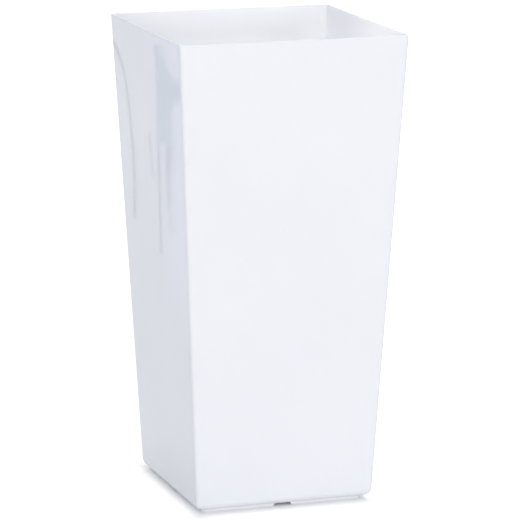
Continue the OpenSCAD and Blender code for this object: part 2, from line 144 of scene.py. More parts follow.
# Filling tube and lid
FILL = centre("fill_tube")
FILL_RADIUS = 18 * MM
FILL_WALL = 2 * MM
OUTLET_HEIGHT = 12 * MM
OUTLET_WIDTH = 12 * MM
LID_THICKNESS = 2.5 * MM
LID_SKIRT = 4 * MM
LID_SKIRT_WALL = 2 * MM
LID_GROOVE = 0.5 * MM
LID_TAB = 7 * MM
RIDGES = 3
RIDGE_START = 1.2 * MM
RIDGE_PITCH = 1.8 * MM
RIDGE_WIDTH = 0.8 * MM
RIDGE_HEIGHT = 0.4 * MM
RIDGE_INSET = 1.5 * MM
COLLAR_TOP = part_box("fill_lid")[0].z + LID_SKIRT
COLLAR_RADIUS = 21 * MM
COLLAR_HEIGHT = 16 * MM
COLLAR_LIP = 2 * MM
MOUTH_RADIUS = 15.5 * MM
KNUCKLE_RADIUS = 3.25 * MM
KNUCKLE_WIDTH = 12 * MM
EAR_WIDTH = 4 * MM
PIN_RADIUS = 1.25 * MM
HINGE = centre("lid_hinge_pin")

# Level gauge
GAUGE = centre("gauge_tube")
GAUGE_RADIUS = 13 * MM
GAUGE_WALL = 1.8 * MM
GAUGE_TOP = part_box("gauge_tube")[1].z
INLET_HEIGHT = 34 * MM
INLET_WIDTH = 5 * MM
INLET_START = 6 * MM
LEDGE_WIDTH = 4 * MM
LEDGE_THICKNESS = 2 * MM
GUIDE_DEPTH = 8 * MM
GUIDE_FLANGE = 2 * MM
GUIDE_SPIGOT = 5 * MM
WINDOW_WALL = 1.6 * MM
ROD_RADIUS = 1.5 * MM
POINTER_RADIUS = 6 * MM
POINTER_GROOVE = 0.6 * MM
MARK_HEIGHT = 1 * MM
MARK_PROUD = 0.05 * MM
MARK_DEPTH = 0.2 * MM
JOINTS = {joint["name"]: joint for joint in frame["joints"]}
FLOAT_TRAVEL = JOINTS["float_rise"]["range_m"][1]

# Drain plugs
PLUG_FLANGE = 3 * MM
PLUG_RIM = 7 * MM
STEM_TAPER = 0.4 * MM
TAB_RADIUS = 10 * MM
TAB_HOLE_RADIUS = 5 * MM
TAB_THICKNESS = 4 * MM
GASKET_THICKNESS = 1.6 * MM

# Clearances, small rounds and what cutting tools overshoot by
SLIDE_GAP = 0.3 * MM
PIN_GAP = 0.08 * MM
SOFT_ROUND = 0.5 * MM
FINE_ROUND = 0.3 * MM
CUT = 1 * MM
MERGE = 0.003 * MM
TINY = 0.001 * MM

# Fineness of round pieces, and which edges are rounded or stay sharp
ROUND_STEPS = 64
HARD_DEGREES = 50
SHARP_DEGREES = 38
TEXTURE_LOW = 0.3
TEXTURE_HIGH = 0.7

# Camera, as fitted to the photograph's edges
CAMERA_AZIMUTH = math.radians(-18.98)
CAMERA_ELEVATION = math.radians(12.10)
CAMERA_ROLL = math.radians(0.215)
CAMERA_DISTANCE = 4.4163
CAMERA_ASIDE = 6.2 * MM
CAMERA_RISE = 289.2 * MM
LENS_MM = 235.8
SENSOR_MM = 36.0
CLIP_END = 60.0


def planter_half(z):
    return BASE_HALF + TAPER * z


FOOT_HALF = planter_half(FOOT_HEIGHT) - FOOT_INSET


def liner_half(z):
    return LINER_TOP_HALF - TAPER * (SEAT - z)


def reservoir_half(z):
    return liner_half(z) - SHOULDER_WIDTH


def quarter_round(radius, steps):
    """Rise and inset of points along a quarter round, from the flat to the wall."""
    turns = [math.pi / 2 * step / steps for step in range(steps + 1)]
    return [(radius * (1 - math.cos(turn)), radius * (1 - math.sin(turn))) for turn in turns]


# Mesh helpers

def mesh_object(name, bm):
    mesh = bpy.data.meshes.new(name)
    bm.to_mesh(mesh)
    bm.free()
    piece = bpy.data.objects.new(name, mesh)
    bpy.context.scene.collection.objects.link(piece)
    return piece


def flat_outline(corners, roundings=()):
    """A face through the corners, with some of them rounded: (corner indices, radius)."""
    bm = bmesh.new()
    verts = [bm.verts.new(corner) for corner in corners]
    bm.faces.new(verts)
    for indices, radius in roundings:
        bmesh.ops.bevel(
            bm, geom=[verts[index] for index in indices], offset=radius, offset_type="OFFSET",
            segments=6, profile=0.5, affect="VERTICES", clamp_overlap=True, material=-1,
        )
    return bm


def thicken(name, bm, shift):
    """A solid from the flat outline, pushed along a vector."""
    made = bmesh.ops.extrude_face_region(bm, geom=bm.faces[:])
    moved = [item for item in made["geom"] if isinstance(item, bmesh.types.BMVert)]
    bmesh.ops.translate(bm, vec=shift, verts=moved)
    bmesh.ops.recalc_face_normals(bm, faces=bm.faces)
    return mesh_object(name, bm)


def square_corners(half, z):
    return [(half, half, z), (-half, half, z), (-half, -half, z), (half, -half, z)]


def square_bar(name, half, radius, low, high):
    """A square bar with rounded upright edges."""
    bm = flat_outline(square_corners(half, low), [(range(4), radius)])
    return thicken(name, bm, (0, 0, high - low))


def square_cup(name, sections):
    """A cup from sections (height, half width, corner radius) up its outside and down its inside."""
    z, half, radius = sections[0]
    bm = flat_outline(square_corners(half, z), [(range(4), radius)])
    top = bm.faces[:][0]
    for step, (next_z, next_half, next_radius) in enumerate(sections[1:]):
        made = bmesh.ops.extrude_face_region(bm, geom=[top])
        if step:
            bmesh.ops.delete(bm, geom=[top], context="FACES_ONLY")
        top = next(item for item in made["geom"] if isinstance(item, bmesh.types.BMFace))
        shift = (next_half - next_radius) - (half - radius)
        share = next_radius / radius
        for side_x in (-1, 1):
            for side_y in (-1, 1):
                corner = [v for v in top.verts if v.co.x * side_x > 0 and v.co.y * side_y > 0]
                pivot = Vector((side_x * (half - radius), side_y * (half - radius), z))
                bmesh.ops.scale(bm, vec=(share, share, 1), space=Matrix.Translation(-pivot), verts=corner)
                bmesh.ops.translate(bm, vec=(side_x * shift, side_y * shift, next_z - z), verts=corner)
        z, half, radius = next_z, next_half, next_radius
    bmesh.ops.recalc_face_normals(bm, faces=bm.faces)
    return mesh_object(name, bm)


def lathe(name, outline, rounding=0.0, at=(0, 0)):
    """A turned piece: the outline (radius, height) is rounded and spun round an upright axis."""
    bm = flat_outline([(radius, 0, height) for radius, height in outline])
    if rounding:
        bmesh.ops.bevel(
            bm, geom=[v for v in bm.verts if v.co.x > TINY], offset=rounding, offset_type="OFFSET",
            segments=3, profile=0.5, affect="VERTICES", clamp_overlap=True, material=-1,
        )
    bmesh.ops.delete(bm, geom=bm.faces[:], context="FACES_ONLY")
    on_axis = [edge for edge in bm.edges if all(v.co.x < TINY for v in edge.verts)]
    bmesh.ops.delete(bm, geom=on_axis, context="EDGES")
    bmesh.ops.spin(
        bm, geom=bm.verts[:] + bm.edges[:], cent=(0, 0, 0), axis=(0, 0, 1),
        angle=2 * math.pi, steps=ROUND_STEPS, use_merge=True,
    )
    bmesh.ops.remove_doubles(bm, verts=bm.verts, dist=TINY)
    bmesh.ops.recalc_face_normals(bm, faces=bm.faces)
    bmesh.ops.translate(bm, vec=(at[0], at[1], 0), verts=bm.verts)
    return mesh_object(name, bm)


def round_bar(bm, radius, start, end, segments=ROUND_STEPS):
    """A round bar from one point to another."""
    run = Vector(end) - Vector(start)
    middle = (Vector(start) + Vector(end)) / 2
    place = Matrix.Translation(middle) @ run.to_track_quat("Z", "Y").to_matrix().to_4x4()
    bmesh.ops.create_cone(
        bm, cap_ends=True, segments=segments, radius1=radius, radius2=radius,
        depth=run.length, matrix=place,
    )


def bar(radius, start, end):
    bm = bmesh.new()
    round_bar(bm, radius, start, end)
    return mesh_object("bar", bm)


def block(bm, low, high, place=Matrix()):
    """A box between two corners, then placed."""
    size = Vector(high) - Vector(low)
    middle = (Vector(low) + Vector(high)) / 2
    fitted = Matrix.Translation(middle) @ Matrix.Diagonal((*size, 1))
    bmesh.ops.create_cube(bm, size=1, matrix=place @ fitted)


def boxes(corner_pairs, place=Matrix()):
    bm = bmesh.new()
    for low, high in corner_pairs:
        block(bm, low, high, place)
    return mesh_object("boxes", bm)


def combine(piece, other, operation):
    """Joins another piece to this one, or cuts it out, and drops the other."""
    step = piece.modifiers.new(operation.lower(), "BOOLEAN")
    step.operation = operation
    step.object = other
    step.solver = "EXACT"
    graph = bpy.context.evaluated_depsgraph_get()
    mesh = bpy.data.meshes.new_from_object(piece.evaluated_get(graph))
    piece.modifiers.clear()
    piece.data = mesh
    bpy.data.objects.remove(other)


def join(piece, *others):
    for other in others:
        combine(piece, other, "UNION")


def carve(piece, *others):
    for other in others:
        combine(piece, other, "DIFFERENCE")


def soften(piece, width):
    """Rounds the hard edges of a finished mesh a little."""
    bm = bmesh.new()
    bm.from_mesh(piece.data)
    bmesh.ops.remove_doubles(bm, verts=bm.verts, dist=TINY)
    bmesh.ops.dissolve_limit(bm, angle_limit=math.radians(0.5), verts=bm.verts, edges=bm.edges)
    hard = [
        edge for edge in bm.edges
        if edge.is_manifold and edge.calc_face_angle() > math.radians(HARD_DEGREES)
    ]
    bmesh.ops.bevel(
        bm, geom=hard, offset=width, offset_type="OFFSET", segments=2, profile=0.5,
        affect="EDGES", clamp_overlap=True, material=-1,
    )
    bmesh.ops.recalc_face_normals(bm, faces=bm.faces)
    bm.to_mesh(piece.data)
    bm.free()


def clean(piece):
    """Merges doubled points and drops the slivers that joining and cutting leave."""
    bm = bmesh.new()
    bm.from_mesh(piece.data)
    bmesh.ops.remove_doubles(bm, verts=bm.verts, dist=MERGE)
    bmesh.ops.dissolve_degenerate(bm, dist=MERGE, edges=bm.edges)
    bm.to_mesh(piece.data)
    bm.free()


def finish(piece, body, material, node=None):
    """Even shading, a material, the body that the piece rides on and the node that it stands for."""
    clean(piece)
    piece.data.shade_smooth()
    piece.data.set_sharp_from_angle(angle=math.radians(SHARP_DEGREES))
    normals = piece.modifiers.new("even_normals", "WEIGHTED_NORMAL")
    normals.keep_sharp = True
    piece.data.materials.clear()
    piece.data.materials.append(material)
    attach(piece, body)
    if node:
        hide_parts(node)


# Materials

class Look:
    """A material's node tree with a Principled shader, and short ways to add to it."""

    def __init__(self, name):
        self.material = bpy.data.materials.new(name)
        self.material.use_nodes = True
        self.tree = self.material.node_tree
        self.shader = self.tree.nodes["Principled BSDF"]
        self.coordinates = self.tree.nodes.new("ShaderNodeTexCoord").outputs["Object"]

    def noise(self, scale, detail, stretch=(1, 1, 1)):
        mapping = self.tree.nodes.new("ShaderNodeMapping")
        mapping.inputs["Scale"].default_value = stretch
        self.tree.links.new(self.coordinates, mapping.inputs["Vector"])
        noise = self.tree.nodes.new("ShaderNodeTexNoise")
        noise.inputs["Scale"].default_value = scale
        noise.inputs["Detail"].default_value = detail
        self.tree.links.new(mapping.outputs["Vector"], noise.inputs["Vector"])
        return noise.outputs["Fac"]

    def cells(self, scale):
        cells = self.tree.nodes.new("ShaderNodeTexVoronoi")
        cells.inputs["Scale"].default_value = scale
        self.tree.links.new(self.coordinates, cells.inputs["Vector"])
        return cells.outputs["Distance"]

    def colour(self, value, first, second):
        """Base colour between two by a texture's value."""
        ramp = self.tree.nodes.new("ShaderNodeValToRGB")
        ramp.color_ramp.elements[0].position = TEXTURE_LOW
        ramp.color_ramp.elements[0].color = (*first, 1)
        ramp.color_ramp.elements[1].position = TEXTURE_HIGH
        ramp.color_ramp.elements[1].color = (*second, 1)
        self.tree.links.new(value, ramp.inputs["Fac"])
        self.tree.links.new(ramp.outputs["Color"], self.shader.inputs["Base Color"])

    def roughness(self, value, low, high):
        """Roughness between two by a texture's value."""
        spread = self.tree.nodes.new("ShaderNodeMapRange")
        spread.inputs["From Min"].default_value = TEXTURE_LOW
        spread.inputs["From Max"].default_value = TEXTURE_HIGH
        spread.inputs["To Min"].default_value = low
        spread.inputs["To Max"].default_value = high
        self.tree.links.new(value, spread.inputs["Value"])
        self.tree.links.new(spread.outputs["Result"], self.shader.inputs["Roughness"])

    def bump(self, value, distance, strength, over=None):
        """Relief from a texture's value, on top of another relief if there is one."""
        bump = self.tree.nodes.new("ShaderNodeBump")
        bump.inputs["Strength"].default_value = strength
        bump.inputs["Distance"].default_value = distance
        self.tree.links.new(value, bump.inputs["Height"])
        if over:
            self.tree.links.new(over, bump.inputs["Normal"])
        self.tree.links.new(bump.outputs["Normal"], self.shader.inputs["Normal"])
        return bump.outputs["Normal"]


def gloss_shell():
    """Gloss white moulded plastic: faint cloudiness, long mould waves and fine orange peel."""
    look = Look("gloss_shell")
    look.colour(look.noise(7, 3), (0.872, 0.880, 0.903), (0.892, 0.900, 0.923))
    look.roughness(look.noise(40, 4), 0.05, 0.08)
    waves = look.bump(look.noise(9, 1, (1, 1, 0.3)), 3 * MM, 0.25)
    look.bump(look.noise(260, 1), 0.03 * MM, 0.10, waves)
    return look.material


def matt_plastic(name, light, dark):
    """Matt moulded plastic with a fine spark-eroded grain."""
    look = Look(name)
    look.colour(look.noise(25, 4), light, dark)
    look.roughness(look.noise(60, 3), 0.40, 0.54)
    look.bump(look.noise(1800, 2), 0.08 * MM, 0.35)
    return look.material


def rubber(name, light, dark):
    """Soft rubber: dull, with mottled sheen and a faint bloom."""
    look = Look(name)
    look.colour(look.noise(90, 5), light, dark)
    look.roughness(look.noise(140, 4), 0.62, 0.80)
    look.bump(look.noise(900, 3), 0.06 * MM, 0.4)
    look.shader.inputs["Specular IOR Level"].default_value = 0.35
    return look.material


def drawn_steel():
    """Stainless wire with fine marks along its length."""
    look = Look("drawn_steel")
    look.shader.inputs["Metallic"].default_value = 1.0
    marks = look.noise(900, 3, (0.04, 1, 1))
    look.colour(marks, (0.55, 0.55, 0.56), (0.66, 0.66, 0.67))
    look.roughness(marks, 0.18, 0.32)
    look.bump(marks, 0.02 * MM, 0.3)
    return look.material


def clear_plastic():
    """Clear moulded plastic with faint smears."""
    look = Look("clear_plastic")
    look.colour(look.noise(60, 2), (0.95, 0.98, 0.985), (0.98, 0.995, 1.0))
    look.shader.inputs["Transmission Weight"].default_value = 1.0
    look.shader.inputs["IOR"].default_value = 1.49
    look.roughness(look.noise(120, 4), 0.015, 0.06)
    return look.material


def foam():
    """Closed-cell foam with a pitted skin."""
    look = Look("float_foam")
    look.colour(look.noise(300, 4), (0.80, 0.30, 0.05), (0.88, 0.38, 0.09))
    look.roughness(look.noise(200, 3), 0.70, 0.85)
    look.bump(look.cells(900), 0.25 * MM, 0.5)
    return look.material


def gloss_plastic(name, light, dark):
    """Small gloss moulded plastic piece."""
    look = Look(name)
    look.colour(look.noise(120, 3), light, dark)
    look.roughness(look.noise(200, 4), 0.16, 0.28)
    look.bump(look.noise(700, 2), 0.04 * MM, 0.2)
    return look.material


SHELL = gloss_shell()
LINER_GREY = matt_plastic("liner_grey", (0.82, 0.83, 0.85), (0.86, 0.87, 0.89))
INSERT_GREY = matt_plastic("insert_grey", (0.24, 0.26, 0.29), (0.28, 0.30, 0.33))
PLUG_RUBBER = rubber("plug_rubber", (0.085, 0.085, 0.09), (0.12, 0.12, 0.125))
SEAL_RUBBER = rubber("seal_rubber", (0.022, 0.022, 0.022), (0.04, 0.04, 0.04))
PIN_STEEL = drawn_steel()
WINDOW_CLEAR = clear_plastic()
FLOAT_FOAM = foam()
ROD_WHITE = gloss_plastic("rod_white", (0.80, 0.80, 0.79), (0.86, 0.86, 0.85))
POINTER_RED = gloss_plastic("pointer_red", (0.62, 0.02, 0.015), (0.74, 0.03, 0.02))
MARK_INK = gloss_plastic("mark_ink", (0.03, 0.05, 0.09), (0.05, 0.07, 0.12))


# Outer planter

def planter_sections():
    outside = [
        (FOOT_HEIGHT + rise, planter_half(FOOT_HEIGHT + rise) - inset, EDGE_RADIUS)
        for rise, inset in quarter_round(BASE_FILLET, 10)
    ]
    rim = [(PLANTER_HEIGHT - inset, rise) for rise, inset in quarter_round(RIM_RADIUS, 4)]
    outer_rim = [(z, planter_half(z) - inset, EDGE_RADIUS) for z, inset in rim]
    inner_rim = [(z, planter_half(z) - WALL + inset, INNER_EDGE_RADIUS) for z, inset in rim[::-1]]
    inside = [
        (FLOOR_TOP + rise, planter_half(FLOOR_TOP + rise) - WALL - inset, INNER_EDGE_RADIUS)
        for rise, inset in quarter_round(BASE_FILLET - WALL, 8)[::-1]
    ]
    return outside + outer_rim + inner_rim + inside


def foot_ring(half):
    """The ring that the planter stands on, with a drainage notch in the middle of each side."""
    ring = square_bar("foot_ring", half, FOOT_RADIUS, 0, FOOT_HEIGHT + CUT)
    inner_radius = FOOT_RADIUS - FOOT_WIDTH / 2
    carve(ring, square_bar("hollow", half - FOOT_WIDTH, inner_radius, -CUT, FOOT_HEIGHT + 2 * CUT))
    wide = NOTCH_WIDTH / 2
    narrow = wide - NOTCH_SLOPE
    reach = half + CUT
    notch = [(-wide, -CUT), (wide, -CUT), (narrow, NOTCH_HEIGHT), (-narrow, NOTCH_HEIGHT)]
    across_y = flat_outline([(along, -reach, z) for along, z in notch])
    across_x = flat_outline([(-reach, along, z) for along, z in notch])
    carve(ring, thicken("notch", across_y, (0, 2 * reach, 0)))
    carve(ring, thicken("notch", across_x, (2 * reach, 0, 0)))
    return ring


def liner_rib(quarter_turns, aside):
    """A wedge on the planter's wall that carries the liner's flange and runs out into the taper."""
    root = WALL / 2
    wall = planter_half(SEAT) - WALL
    end = SEAT - (wall - RIB_FACE) / TAPER
    near = aside - RIB_WIDTH / 2
    corners = [(RIB_FACE, end), (RIB_FACE + root, end), (wall + root, SEAT), (RIB_FACE, SEAT)]
    bm = flat_outline([(x, near, z) for x, z in corners])
    turn = Matrix.Rotation(math.pi / 2 * quarter_turns, 3, "Z")
    bmesh.ops.rotate(bm, cent=(0, 0, 0), matrix=turn, verts=bm.verts)
    return thicken("liner_rib", bm, turn @ Vector((0, RIB_WIDTH, 0)))


def make_planter():
    planter = square_cup("planter_shell", planter_sections())
    join(planter, foot_ring(FOOT_HALF))
    length = FOOT_HALF - FOOT_WIDTH / 2
    half = FLOOR_RIB_WIDTH / 2
    root = FOOT_HEIGHT + CUT
    for turn in (math.pi / 4, -math.pi / 4):
        rib = ((-length, -half, FLOOR_RIB_LIFT), (length, half, root))
        join(planter, boxes([rib], Matrix.Rotation(turn, 4, "Z")))
    join(planter, bar(BOSS_RADIUS, (0, 0, FLOOR_RIB_LIFT), (0, 0, root)))
    for quarter_turns in range(4):
        for aside in (-RIB_ASIDE, RIB_ASIDE):
            join(planter, liner_rib(quarter_turns, aside))
    carve(planter, bar(DRAIN_RADIUS, (0, 0, -CUT), (0, 0, FLOOR_TOP + CUT)))
    finish(planter, "planter", SHELL, "outer_planter")


# Liner

def liner_sections():
    inner_radius = LINER_RADIUS - LINER_WALL
    under = SHOULDER - LINER_WALL
    edge = FLANGE_EDGE
    outside = [
        (LINER_BOTTOM + rise, reservoir_half(LINER_BOTTOM + rise) - inset, LINER_RADIUS)
        for rise, inset in quarter_round(LINER_FILLET, 6)
    ]
    rim = [
        (under, reservoir_half(under), LINER_RADIUS),
        (under, liner_half(under) - edge, LINER_RADIUS),
        (under + edge, liner_half(under + edge), LINER_RADIUS),
        (SEAT, LINER_TOP_HALF, LINER_RADIUS),
        (SEAT, FLANGE_HALF - edge, FLANGE_RADIUS),
        (SEAT + edge, FLANGE_HALF, FLANGE_RADIUS),
        (LINER_RIM - edge, FLANGE_HALF, FLANGE_RADIUS),
        (LINER_RIM, FLANGE_HALF - edge, FLANGE_RADIUS),
        (LINER_RIM, liner_half(LINER_RIM) - LINER_WALL + edge, inner_radius),
        (LINER_RIM - edge, liner_half(LINER_RIM) - LINER_WALL, inner_radius),
        (SHOULDER, liner_half(SHOULDER) - LINER_WALL, inner_radius),
        (SHOULDER, reservoir_half(SHOULDER) - LINER_WALL, inner_radius),
    ]
    inside = [
        (LINER_FLOOR + rise, reservoir_half(LINER_FLOOR + rise) - LINER_WALL - inset, inner_radius)
        for rise, inset in quarter_round(LINER_FILLET - LINER_WALL, 5)[::-1]
    ]
    return outside + rim + inside


def make_liner(handle_aside):
    liner = square_cup("liner_pot", liner_sections())
    slot_x = LEG_THICKNESS / 2 + SLIDE_GAP
    slot_y = LEG_WIDTH / 2 + SLIDE_GAP
    leg = HANDLE_HALF - LEG_WIDTH / 2
    slots = []
    for side_x in (-1, 1):
        for side_y in (-1, 1):
            middle = Vector((side_x * handle_aside, side_y * leg, LINER_RIM))
            low = middle - Vector((slot_x, slot_y, 2 * FLANGE_THICKNESS))
            slots.append((low, middle + Vector((slot_x, slot_y, CUT))))
    carve(liner, boxes(slots))
    carve(liner, bar(LINER_DRAIN_RADIUS, (0, 0, LINER_BOTTOM - CUT), (0, 0, LINER_FLOOR + CUT)))
    overflow = SHOULDER - LINER_WALL - 2 * OVERFLOW_RADIUS
    reach = reservoir_half(overflow) + CUT
    carve(liner, bar(OVERFLOW_RADIUS, (0, -reach, overflow), (0, reach, overflow)))
    finish(liner, "liner", LINER_GREY, "liner")


# Handles

def handle_outline(x, leg_end):
    """An arch that rests on the flange, with two barbed legs below it."""
    outer = HANDLE_HALF + HANDLE_SHOULDER
    inner = HANDLE_HALF - LEG_WIDTH
    opening = inner - HANDLE_SHOULDER
    top = LINER_RIM + FINGER_GAP + GRIP_RADIUS
    arch = LINER_RIM + FINGER_GAP
    barb = leg_end + BARB_HEIGHT
    half = [
        (opening, arch), (opening, LINER_RIM), (inner, LINER_RIM), (inner, leg_end),
        (HANDLE_HALF, leg_end), (HANDLE_HALF + BARB_WIDTH, barb), (HANDLE_HALF, barb),
        (HANDLE_HALF, LINER_RIM), (outer, LINER_RIM), (outer, top),
    ]
    points = half + [(-y, z) for y, z in half[::-1]]
    inside_corners = (0, len(points) - 1)
    outside_corners = (len(half) - 1, len(half))
    return flat_outline(
        [(x - LEG_THICKNESS / 2, y, z) for y, z in points],
        [(outside_corners, ARCH_RADIUS), (inside_corners, ARCH_RADIUS / 2)],
    )


def make_handle(node):
    low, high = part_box(node)
    x = (low.x + high.x) / 2
    handle = thicken(node + "_strap", handle_outline(x, low.z), (LEG_THICKNESS, 0, 0))
    soften(handle, SOFT_ROUND)
    grip_z = LINER_RIM + FINGER_GAP + GRIP_RADIUS
    grip = bmesh.new()
    bmesh.ops.create_uvsphere(grip, u_segments=32, v_segments=16, radius=GRIP_RADIUS)
    quarter = Matrix.Rotation(math.pi / 2, 3, "X")
    bmesh.ops.rotate(grip, cent=(0, 0, 0), matrix=quarter, verts=grip.verts)
    whole = grip.verts[:] + grip.edges[:] + grip.faces[:]
    bmesh.ops.bisect_plane(grip, geom=whole, plane_co=(0, 0, 0), plane_no=(0, 1, 0))
    for direction in (-1, 1):
        cap = [v for v in grip.verts if v.co.y * direction > TINY]
        bmesh.ops.translate(grip, vec=(0, direction * GRIP_HALF, 0), verts=cap)
    bmesh.ops.translate(grip, vec=(x, 0, grip_z), verts=grip.verts)
    join(handle, mesh_object("grip", grip))
    finish(handle, node, INSERT_GREY, node)


# Separator and wicking cups

def air_holes(cups):
    """Places of the air holes: a square pattern that keeps clear of the tubes and cups."""
    count = int((SEPARATOR_HALF - LIP_WIDTH - 2 * AIR_HOLE_RADIUS) / AIR_PITCH)
    clear = [(FILL, FILL_RADIUS + SOCKET_WALL), (GAUGE, GAUGE_RADIUS + SOCKET_WALL)]
    clear += [(cup, CUP_FLANGE_RADIUS) for cup in cups]
    places = []
    for column in range(-count, count + 1):
        for row in range(-count, count + 1):
            x, y = column * AIR_PITCH, row * AIR_PITCH
            gaps = [math.hypot(x - at.x, y - at.y) - room for at, room in clear]
            if min(gaps) > 2 * AIR_HOLE_RADIUS:
                places.append((x, y))
    return places


def make_separator(cups):
    radius = LINER_RADIUS - LINER_WALL
    lip_top = SHOULDER + LIP_HEIGHT
    separator = square_bar("separator_plate", SEPARATOR_HALF, radius, SHOULDER, lip_top)
    inner_half = SEPARATOR_HALF - LIP_WIDTH
    inner_radius = radius - LIP_WIDTH
    carve(separator, square_bar("tray", inner_half, inner_radius, SEPARATOR_TOP, lip_top + CUT))
    length = reservoir_half(SHOULDER) - LINER_WALL - STIFFENER_HEIGHT
    low = SHOULDER - STIFFENER_HEIGHT
    high = SHOULDER + CUT
    half = STIFFENER_WIDTH / 2
    for turn in (0, math.pi / 2):
        for aside in (-STIFFENER_ASIDE, STIFFENER_ASIDE):
            stiffener = ((-length, aside - half, low), (length, aside + half, high))
            join(separator, boxes([stiffener], Matrix.Rotation(turn, 4, "Z")))
    socket_top = SHOULDER + SOCKET_HEIGHT
    holes = bmesh.new()
    for at, tube_radius in ((FILL, FILL_RADIUS), (GAUGE, GAUGE_RADIUS)):
        x, y = at.x, at.y
        join(separator, bar(tube_radius + SOCKET_WALL, (x, y, SHOULDER), (x, y, socket_top)))
        round_bar(holes, tube_radius + SLIDE_GAP, (x, y, low - CUT), (x, y, socket_top + CUT))
    under = SHOULDER - CUT
    above = SEPARATOR_TOP + CUT
    for cup in cups:
        round_bar(holes, CUP_RADIUS + SLIDE_GAP, (cup.x, cup.y, under), (cup.x, cup.y, above))
    for x, y in air_holes(cups):
        round_bar(holes, AIR_HOLE_RADIUS, (x, y, under), (x, y, above), AIR_HOLE_SIDES)
    carve(separator, mesh_object("holes", holes))
    finish(separator, "liner", INSERT_GREY, "separator")


def make_cup(node, at):
    low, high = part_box(node)
    bottom = low.z
    top = high.z - CUP_FLANGE_THICKNESS
    cup = lathe(node + "_basket", [
        (0, bottom), (CUP_FOOT_RADIUS, bottom), (CUP_RADIUS, top), (CUP_FLANGE_RADIUS, top),
        (CUP_FLANGE_RADIUS, high.z), (CUP_RADIUS - CUP_WALL, high.z),
        (CUP_FOOT_RADIUS - CUP_WALL, bottom + CUP_WALL), (0, bottom + CUP_WALL),
    ], SOFT_ROUND, at)
    start = bottom + CUP_SLOT_START
    end = start + (top - bottom) * CUP_SLOT_SHARE
    half = CUP_SLOT_WIDTH / 2
    slots = bmesh.new()
    for slot in range(CUP_SLOTS):
        turn = Matrix.Rotation(2 * math.pi * (slot + 0.5) / CUP_SLOTS, 4, "Z")
        place = Matrix.Translation((at.x, at.y, 0)) @ turn
        block(slots, (CUP_RADIUS / 2, -half, start), (CUP_FLANGE_RADIUS, half, end), place)
    carve(cup, mesh_object("slots", slots))
    drain_top = bottom + CUP_WALL + CUT
    carve(cup, bar(CUP_DRAIN_RADIUS, (at.x, at.y, bottom - CUT), (at.x, at.y, drain_top)))
    finish(cup, "liner", INSERT_GREY, node)


# Filling tube

def tube_outline(outer, inner, low, high):
    return [(inner, low), (outer, low), (outer, high), (inner, high)]


def make_fill_tube():
    low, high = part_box("fill_tube")
    outline = tube_outline(FILL_RADIUS, FILL_RADIUS - FILL_WALL, low.z, high.z)
    tube = lathe("fill_pipe", outline, SOFT_ROUND, FILL)
    half = OUTLET_WIDTH / 2
    reach = FILL_RADIUS + CUT
    outlet = ((-reach, -half, low.z - CUT), (reach, half, low.z + OUTLET_HEIGHT))
    middle = Matrix.Translation((FILL.x, FILL.y, 0))
    for turn in (math.pi / 4, -math.pi / 4):
        carve(tube, boxes([outlet], middle @ Matrix.Rotation(turn, 4, "Z")))
    finish(tube, "liner", LINER_GREY, "fill_tube")


def hinge_bar(radius, start, end):
    """A round bar on the lid's hinge line, from one x to another."""
    return bar(radius, (start, HINGE.y, HINGE.z), (end, HINGE.y, HINGE.z))


def pin_bore():
    return hinge_bar(PIN_RADIUS + PIN_GAP, FILL.x - KNUCKLE_WIDTH, FILL.x + KNUCKLE_WIDTH)


def hinge_ear(x):
    """A cheek of the hinge, from the collar's side up round the pin."""
    reach = HINGE.y - FILL.y
    low = COLLAR_TOP - COLLAR_HEIGHT / 2
    corners = [
        (COLLAR_RADIUS / 2, low), (COLLAR_RADIUS, low),
        (reach + KNUCKLE_RADIUS, HINGE.z), (reach - KNUCKLE_RADIUS, HINGE.z),
        (reach - KNUCKLE_RADIUS, COLLAR_TOP), (COLLAR_RADIUS / 2, COLLAR_TOP),
    ]
    start = FILL.x + x - EAR_WIDTH / 2
    outline = flat_outline([(start, FILL.y + y, z) for y, z in corners])
    ear = thicken("ear", outline, (EAR_WIDTH, 0, 0))
    join(ear, hinge_bar(KNUCKLE_RADIUS, start, start + EAR_WIDTH))
    return ear


def make_collar():
    bottom = COLLAR_TOP - COLLAR_HEIGHT
    lip = COLLAR_TOP - COLLAR_LIP
    outline = tube_outline(COLLAR_RADIUS, COLLAR_RADIUS / 2, bottom, COLLAR_TOP)
    collar = lathe("fill_ring", outline, SOFT_ROUND, FILL)
    ear_x = KNUCKLE_WIDTH / 2 + SLIDE_GAP + EAR_WIDTH / 2
    join(collar, hinge_ear(-ear_x), hinge_ear(ear_x))
    x, y = FILL.x, FILL.y
    carve(collar, bar(FILL_RADIUS + SLIDE_GAP / 2, (x, y, bottom - CUT), (x, y, lip)))
    carve(collar, bar(MOUTH_RADIUS, (x, y, lip - CUT), (x, y, COLLAR_TOP + CUT)))
    carve(collar, pin_bore())
    finish(collar, "liner", INSERT_GREY, "fill_collar")


def lid_outline(top):
    """Half the lid's section: a disc with a skirt below it and a ring groove on top."""
    outer = MOUTH_RADIUS - SLIDE_GAP
    inner = outer - LID_SKIRT_WALL
    skirt_end = COLLAR_TOP - LID_SKIRT
    groove = top - LID_GROOVE
    return [
        (0, COLLAR_TOP), (inner, COLLAR_TOP), (inner, skirt_end), (outer, skirt_end),
        (outer, COLLAR_TOP), (COLLAR_RADIUS, COLLAR_TOP), (COLLAR_RADIUS, top), (outer, top),
        (outer - LID_GROOVE, groove), (inner + LID_GROOVE, groove), (inner, top), (0, top),
    ]


